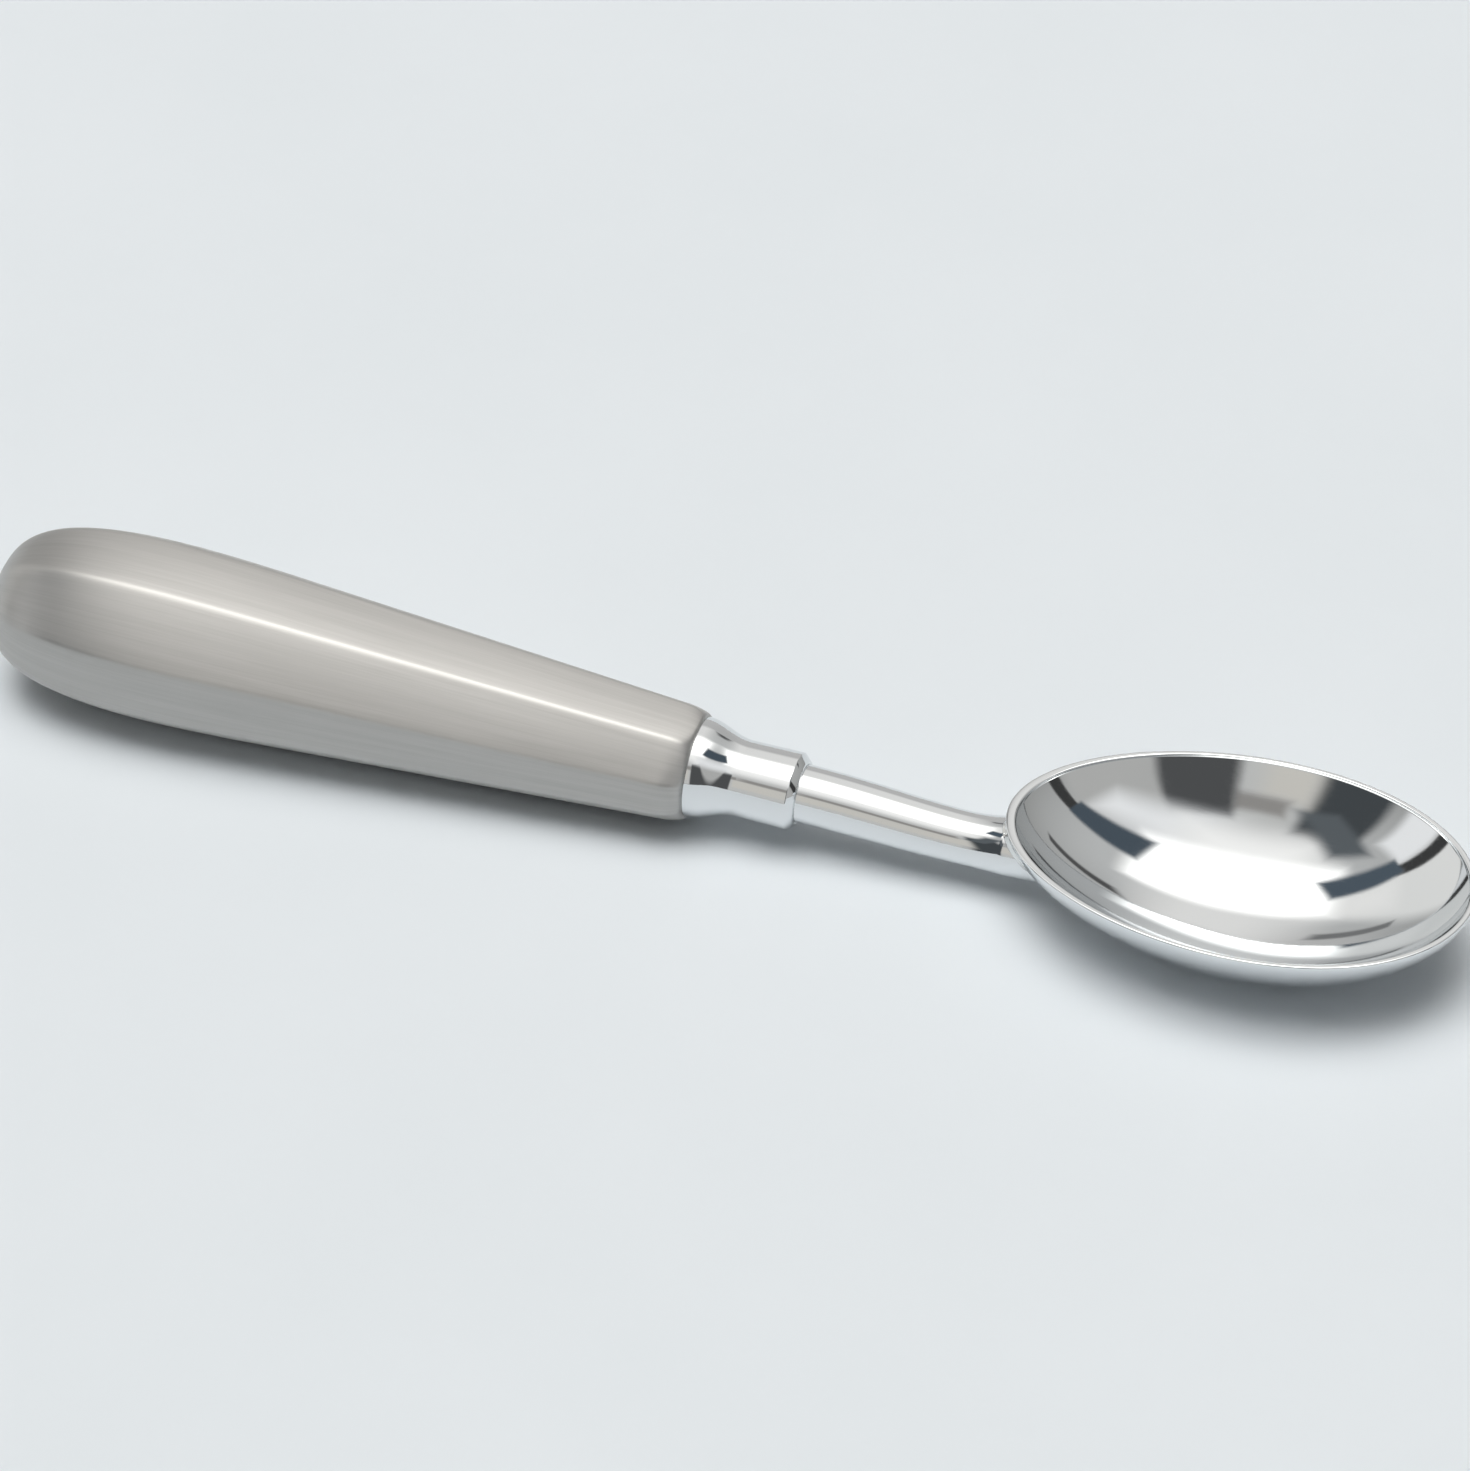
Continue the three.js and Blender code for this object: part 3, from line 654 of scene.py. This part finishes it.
def taper_section(from_ferrule):
    """Half sizes of the octagon at a station, before the dome."""
    share = from_ferrule / HANDLE_LENGTH
    return (mix(HANDLE_END_WIDTH, HANDLE_BUTT_WIDTH, share) / 2 - HANDLE_GROUND_OFF,
            mix(HANDLE_END_HEIGHT, HANDLE_BUTT_HEIGHT, share) / 2 - HANDLE_GROUND_OFF,
            mix(HANDLE_END_TOP_FACET, HANDLE_BUTT_TOP_FACET, share) / 2,
            mix(HANDLE_END_SIDE_FACET, HANDLE_BUTT_SIDE_FACET, share) / 2)


def dome_scale(from_butt):
    share = min(1.0, max(0.0, 1 - from_butt / HANDLE_DOME_LENGTH))
    return (1 - share ** HANDLE_DOME_LENGTH_POWER) ** (1 / HANDLE_DOME_RADIAL_POWER)


def octagon(section, hardness):
    """Outline with crowned facets that blend into each other; each point carries how near an edge it is."""
    width, height, top, side = section
    slant = Vector((height - side, width - top)).normalized()
    slant_reach = slant.dot(Vector((width, side))) * HANDLE_SLANT_GAIN
    facets = []
    for x, y in ((1, 1), (-1, 1), (-1, -1), (1, -1)):
        facets.append((Vector((slant.x * x, slant.y * y)), slant_reach))
    for x, y, reach in ((1, 0, width), (0, 1, height), (-1, 0, width), (0, -1, height)):
        facets.append((Vector((x, y)), reach))
    low = math.atan2(side, width)
    high = math.atan2(height, top)
    corners = [low, high, math.pi - high, math.pi - low, math.pi + low, math.pi + high,
               2 * math.pi - high, 2 * math.pi - low, 2 * math.pi + low]
    points = []
    for near, far in zip(corners, corners[1:]):
        for k in range(HANDLE_FACET_STEPS):
            turn = mix(near, far, 0.5 - 0.5 * math.cos(math.pi * k / HANDLE_FACET_STEPS))
            way = Vector((math.cos(turn), math.sin(turn)))
            pulls = []
            for facing, reach in facets:
                lean = facing.dot(way)
                if lean > FACET_LEAN:
                    crown = 1 - HANDLE_CROWN * (1 / (lean * lean) - 1)
                    pulls.append((lean / (reach * crown)) ** hardness)
            pulls.sort(reverse=True)
            edge = 2 * pulls[1] / (pulls[0] + pulls[1])
            points.append((way * sum(pulls) ** (-1 / hardness), edge))
    return points


def edge_hardness(station):
    """Edges are crisp along the handle and melt into the dome."""
    past = smooth_step(1 - (HANDLE_LENGTH - station) / HANDLE_SOFT_REACH)
    return mix(HANDLE_EDGE_HARDNESS, HANDLE_BUTT_HARDNESS, past)


def handle_rings():
    """Rings from beside the butt's pole to the ferrule: a station, and points with their edge values."""
    stations = []
    for i in range(HANDLE_DOME_STEPS):
        share = ((i + 1) / HANDLE_DOME_STEPS) ** HANDLE_DOME_CROWDING
        stations.append(HANDLE_LENGTH - HANDLE_DOME_LENGTH * share)
    taper_end = HANDLE_LENGTH - HANDLE_DOME_LENGTH
    for i in range(HANDLE_TAPER_STEPS):
        stations.append(mix(taper_end, HANDLE_END_ROUND, (i + 1) / HANDLE_TAPER_STEPS))
    rings = []
    for station in stations:
        scale = dome_scale(HANDLE_LENGTH - station)
        outline = octagon(taper_section(station), edge_hardness(station))
        rings.append((station, [(point * scale, edge) for point, edge in outline]))
    round_end = FERRULE_FLARE_DIAMETER / 2
    for i in range(HANDLE_END_STEPS):
        share = (i + 1) / HANDLE_END_STEPS
        station = HANDLE_END_ROUND * (1 - share)
        easing = 1 - math.sqrt(1 - share * share)
        outline = octagon(taper_section(station), HANDLE_EDGE_HARDNESS)
        rings.append((station, [(point.lerp(point.normalized() * round_end, easing), edge * (1 - easing))
                                for point, edge in outline]))
    return rings


def make_handle(material):
    """Both shells ground into one seamless octagonal skin, domed at the butt."""
    rings = handle_rings()
    points = [[grip_place @ Vector((-HANDLE_LENGTH, 0, 0))]]
    for station, outline in rings:
        points.append([grip_place @ Vector((-station, point.x, point.y)) for point, _ in outline])
    mesh = loft(points)
    edge_values = [0.0] + [edge for _, outline in rings for _, edge in outline] + [0.0]
    edge_layer = mesh.attributes.new("edge", "FLOAT", "POINT")
    edge_layer.data.foreach_set("value", edge_values)
    lay_brush_map(mesh, points)
    return mesh_object("handle_satin", mesh, material)


def lay_brush_map(mesh, rings):
    """UV in metres: along the handle, and round it at the size of its widest ring."""
    count = len(rings[-1])
    steps_of_rings = []
    for ring in rings:
        steps_of_rings.append([(ring[(i + 1) % len(ring)] - ring[i]).length for i in range(len(ring))])
    widest_steps = max(steps_of_rings, key=sum)
    about = [sum(widest_steps[:i]) for i in range(count + 1)]
    along = [0.0]
    for near, far in zip(rings, rings[1:]):
        step = sum((far[i % len(far)] - near[i % len(near)]).length for i in range(count)) / count
        along.append(along[-1] + step)

    # Ring and place of each vertex; the pole and the hub have no place of their own
    spot_of_vertex = [(0, None)]
    for r in range(1, len(rings)):
        spot_of_vertex += [(r, i) for i in range(count)]
    spot_of_vertex.append((len(rings) - 1, None))

    layer = mesh.uv_layers.new(name=BRUSH_MAP)
    for face in mesh.polygons:
        spots = [spot_of_vertex[mesh.loops[k].vertex_index] for k in face.loop_indices]
        known = [i for _, i in spots if i is not None]
        wraps = max(known) - min(known) > count / 2
        known = [count if wraps and i == 0 else i for i in known]
        middle = sum(about[i] for i in known) / len(known)
        for k, (ring, i) in zip(face.loop_indices, spots):
            if wraps and i == 0:
                i = count
            layer.data[k].uv = (along[ring], middle if i is None else about[i])


# Studio: grey walls, a ceiling with one bright patch, and boards on them.
# Ceiling places are across and back per unit of height, back places across and up per unit of depth,
# and wall places are azimuth and elevation in degrees.

WALL_LOW = "#a2a2a0"
WALL_HIGH = "#c6c6c5"
WALL_LOW_RISE = 0.05
WALL_HIGH_RISE = 0.8
LEAST_DIVISOR = 0.02
FLOOR_PAINT = ("#e2e8ec", "#e9eef2")
BACKDROP = "#e6eaed"

# Each board: name, centre, half size, tilt in degrees, softness, colour, level
BACK_BOARDS = (
    ("back_wall", (-0.25, 0.4), (0.5, 0.8), 0, 0.3, "#fffdfb", 0.56),
)
WALL_BOARDS = (
    ("left_wall", (-98, 24), (24, 36), 0, 8, "#fffefb", 0.85),
    ("front_right_wall", (50, 22), (24, 28), 0, 6, "#fffefb", 0.5),
    ("front_wall", (-5, 24), (12, 26), 0, 6, "#fffefb", 0.62),
    ("front_left_board", (-32, 22), (13, 25), 0, 3, "#ccd6dd", 0.11),
    ("front_panel", (-11, 22), (8, 11), 0, 5, "#fffaf1", 0.68),
    ("front_rail", (-4, 36.5), (9, 4), 0, 2.5, "#fffaf4", 0.33),
    ("left_patch", (-62, 20), (9, 14), 0, 3, "#ffffff", 0.95),
    ("left_stand", (-76, 18), (4, 19), 0, 1, "#ffffff", 0.05),
    ("right_stand", (81, 18), (5, 19), 0, 1, "#ffffff", 0.05),
    ("front_stand", (17, 21), (12.5, 25), 0, 2.5, "#f4f6f8", 0.1),
)
CEILING_BOARDS = (
    ("strip", (-0.1, 0.42), (0.4, 1.15), 0, 0.32, "#fffdfa", 0.88),
    ("right_glow", (0.7, -0.68), (0.5, 0.28), -8, 0.3, "#ffffff", 0.95),
    ("key_glow", (-0.1, -0.3), (0.38, 0.45), 0, 0.35, "#fffdfa", 1.15),
    ("key", (-0.1, 0.03), (0.36, 0.21), 0, 0.34, "#fffdf9", 5.1),
    ("left_glow", (-0.95, 0.15), (0.35, 0.3), 0, 0.3, "#fffdfa", 0.95),
    ("back_rail_left", (-1.1, 1.1), (0.42, 0.13), 0, 0.06, "#ffffff", 0.2),
    ("back_rail_right", (1.2, 1.6), (0.75, 0.2), 12, 0.1, "#ffffff", 0.09),
    ("right_board", (0.95, -0.2), (0.56, 0.19), -8, 0.05, "#5c6873", 0.7),
    ("left_board", (-0.98, -0.25), (0.5, 0.15), 24, 0.05, "#5c6873", 0.8),
    ("front_board", (-0.7, -1.0), (0.22, 0.4), 12, 0.1, "#ccd6dd", 0.2),
)

# What bounced diffuse rays find instead, for firmer shadows: a smaller, stronger key and dim walls
FLOOR_KEY = ("floor_key", (-0.1, -0.165), (0.28, 0.25), 0, 0.2, "#ffffff", 14.9)
WALL_LIGHT = 0.05


def hang(tree, place, board, under):
    """A soft-edged board over what is behind it."""
    name, centre, half, tilt, softness, paint, level = board
    rotation = (0.0, 0.0, math.radians(tilt))
    turned = add_node(tree, "ShaderNodeMapping",
                      {"Vector": place, "Location": (*centre, 0.0), "Rotation": rotation},
                      vector_type="TEXTURE", label=name)
    off_centre = add_node(tree, "ShaderNodeVectorMath", {0: turned}, operation="ABSOLUTE")
    past_edge = add_node(tree, "ShaderNodeVectorMath", {0: off_centre, 1: (*half, 0.0)},
                         operation="SUBTRACT")
    past = add_node(tree, "ShaderNodeSeparateXYZ", {0: past_edge}).outputs
    furthest = add_node(tree, MATH, {0: past["X"], 1: past["Y"]}, operation="MAXIMUM")
    on_board = add_node(tree, RANGE, {"Value": furthest, "From Min": softness, "From Max": -softness},
                        interpolation_type="SMOOTHSTEP")
    glow = [channel * level for channel in linear(paint)]
    hung = add_node(tree, "ShaderNodeMix", {"Factor": on_board, "A": under, "B": glow}, data_type="RGBA")
    return hung.outputs["Result"]


def studio_world():
    world = bpy.data.worlds.new("studio")
    bpy.context.scene.world = world
    world.use_nodes = True
    tree = world.node_tree
    tree.nodes.clear()

    # Places in the studio from the direction of a ray
    direction = add_node(tree, "ShaderNodeTexCoord").outputs["Generated"]
    x, y, z = add_node(tree, "ShaderNodeSeparateXYZ", {0: direction}).outputs
    height = add_node(tree, MATH, {0: z, 1: LEAST_DIVISOR}, operation="MAXIMUM")
    ceiling_across = add_node(tree, MATH, {0: x, 1: height}, operation="DIVIDE")
    ceiling_back = add_node(tree, MATH, {0: y, 1: height}, operation="DIVIDE")
    ceiling = add_node(tree, "ShaderNodeCombineXYZ", {"X": ceiling_across, "Y": ceiling_back})
    depth = add_node(tree, MATH, {0: y, 1: LEAST_DIVISOR}, operation="MAXIMUM")
    back_across = add_node(tree, MATH, {0: x, 1: depth}, operation="DIVIDE")
    back_up = add_node(tree, MATH, {0: z, 1: depth}, operation="DIVIDE")
    back = add_node(tree, "ShaderNodeCombineXYZ", {"X": back_across, "Y": back_up})
    forward = add_node(tree, MATH, {0: y, 1: -1.0}, operation="MULTIPLY")
    turn = add_node(tree, MATH, {0: x, 1: forward}, operation="ARCTAN2")
    azimuth = add_node(tree, MATH, {0: turn}, operation="DEGREES")
    lift = add_node(tree, MATH, {0: z}, operation="ARCSINE")
    elevation = add_node(tree, MATH, {0: lift}, operation="DEGREES")
    wall = add_node(tree, "ShaderNodeCombineXYZ", {"X": azimuth, "Y": elevation})

    # What metal shows, what bounced diffuse rays find, and what the camera sees
    climb = add_node(tree, RANGE, {"Value": z, "From Min": WALL_LOW_RISE, "From Max": WALL_HIGH_RISE})
    walls = add_node(tree, "ShaderNodeMix", {"Factor": climb, "A": linear(WALL_LOW), "B": linear(WALL_HIGH)},
                     data_type="RGBA").outputs["Result"]
    shown = walls
    for place, boards in ((back, BACK_BOARDS), (wall, WALL_BOARDS), (ceiling, CEILING_BOARDS)):
        for board in boards:
            shown = hang(tree, place, board, shown)
    dim_walls = add_node(tree, "ShaderNodeVectorMath", {0: walls, "Scale": WALL_LIGHT}, operation="SCALE")
    lit = hang(tree, ceiling, FLOOR_KEY, dim_walls)
    path = add_node(tree, "ShaderNodeLightPath").outputs
    bounced = add_node(tree, "ShaderNodeMix", {"Factor": path["Is Diffuse Ray"], "A": shown, "B": lit},
                       data_type="RGBA")
    seen = add_node(tree, "ShaderNodeMix",
                    {"Factor": path["Is Camera Ray"], "A": bounced.outputs["Result"], "B": linear(BACKDROP)},
                    data_type="RGBA")
    light = add_node(tree, "ShaderNodeBackground", {"Color": seen.outputs["Result"], "Strength": 1.0})
    add_node(tree, "ShaderNodeOutputWorld", {"Surface": light})


def painted_floor():
    """A matt painted table top: pale and faintly mottled."""
    material, tree = new_material("matt_painted_board")
    place = add_node(tree, "ShaderNodeTexCoord").outputs["Object"]
    mottle = add_node(tree, NOISE,
                      {"Vector": place, "Scale": 1 / FLOOR_MOTTLE, "Detail": 5.0, "Roughness": 0.55})
    low, high = FLOOR_PAINT
    colour = add_node(tree, "ShaderNodeMix", {"Factor": mottle, "A": linear(low), "B": linear(high)},
                      data_type="RGBA")
    shader = add_node(tree, "ShaderNodeBsdfPrincipled",
                      {"Base Color": colour.outputs["Result"], "Roughness": 0.8, "Specular IOR Level": 0.2})
    add_node(tree, "ShaderNodeOutputMaterial", {"Surface": shader})
    corners = [(x * FLOOR_HALF, y * FLOOR_HALF, 0) for x, y in ((-1, -1), (1, -1), (1, 1), (-1, 1))]
    mesh = bpy.data.meshes.new("floor")
    mesh.from_pydata(corners, [], [(0, 1, 2, 3)])
    mesh.materials.append(material)
    floor = bpy.data.objects.new("floor", mesh)
    bpy.context.scene.collection.objects.link(floor)


def make_camera():
    data = bpy.data.cameras.new("camera")
    data.sensor_fit = "HORIZONTAL"
    data.sensor_width = VIEW_SENSOR_MM
    data.lens = VIEW_LENS_MM
    data.clip_start = VIEW_CLIP_START
    camera = bpy.data.objects.new("camera", data)
    towards = Vector((math.sin(VIEW_AZIMUTH) * math.cos(VIEW_ELEVATION),
                      -math.cos(VIEW_AZIMUTH) * math.cos(VIEW_ELEVATION),
                      math.sin(VIEW_ELEVATION)))
    camera.location = VIEW_AIM + towards * VIEW_DISTANCE
    camera.rotation_euler = towards.to_track_quat("Z", "Y").to_euler()
    bpy.context.scene.collection.objects.link(camera)
    bpy.context.scene.camera = camera


def dress(piece, slot, *nodes):
    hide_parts(*nodes)
    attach(piece, "root")


make_camera()
studio_world()
painted_floor()
bpy.context.scene.view_settings.view_transform = "Standard"

buffed_sheet = polished_stainless("mirror_buffed_stainless_sheet", "#e6e8e9", "#dfe2e4",
                                  ALONG_X, BUFF_LINE_SHEET, 0.05)
buffed_bar = polished_stainless("mirror_buffed_stainless_bar", "#e5e7e8", "#dee1e3",
                                ALONG_X, BUFF_LINE_BAR, 0.04)
buffed_braze = polished_stainless("buffed_braze_filler", "#e0e1e0", "#d6d7d6",
                                  ALONG_Y, BUFF_LINE_BRAZE, 0.07)

dress(make_bowl(buffed_sheet), "polished_steel", "bowl")
dress(make_shank(buffed_bar), "polished_steel", "shank")
dress(make_braze(buffed_braze), "braze_filler", "bowl_braze_fillet")
dress(make_ferrule(buffed_bar), "polished_steel", "ferrule")
dress(make_handle(satin_stainless()), "satin_steel", "handle_upper_shell", "handle_lower_shell")

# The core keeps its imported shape, out of sight in the handle
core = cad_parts["handle_core"]
core.data.materials.clear()
core.data.materials.append(bonding_resin())
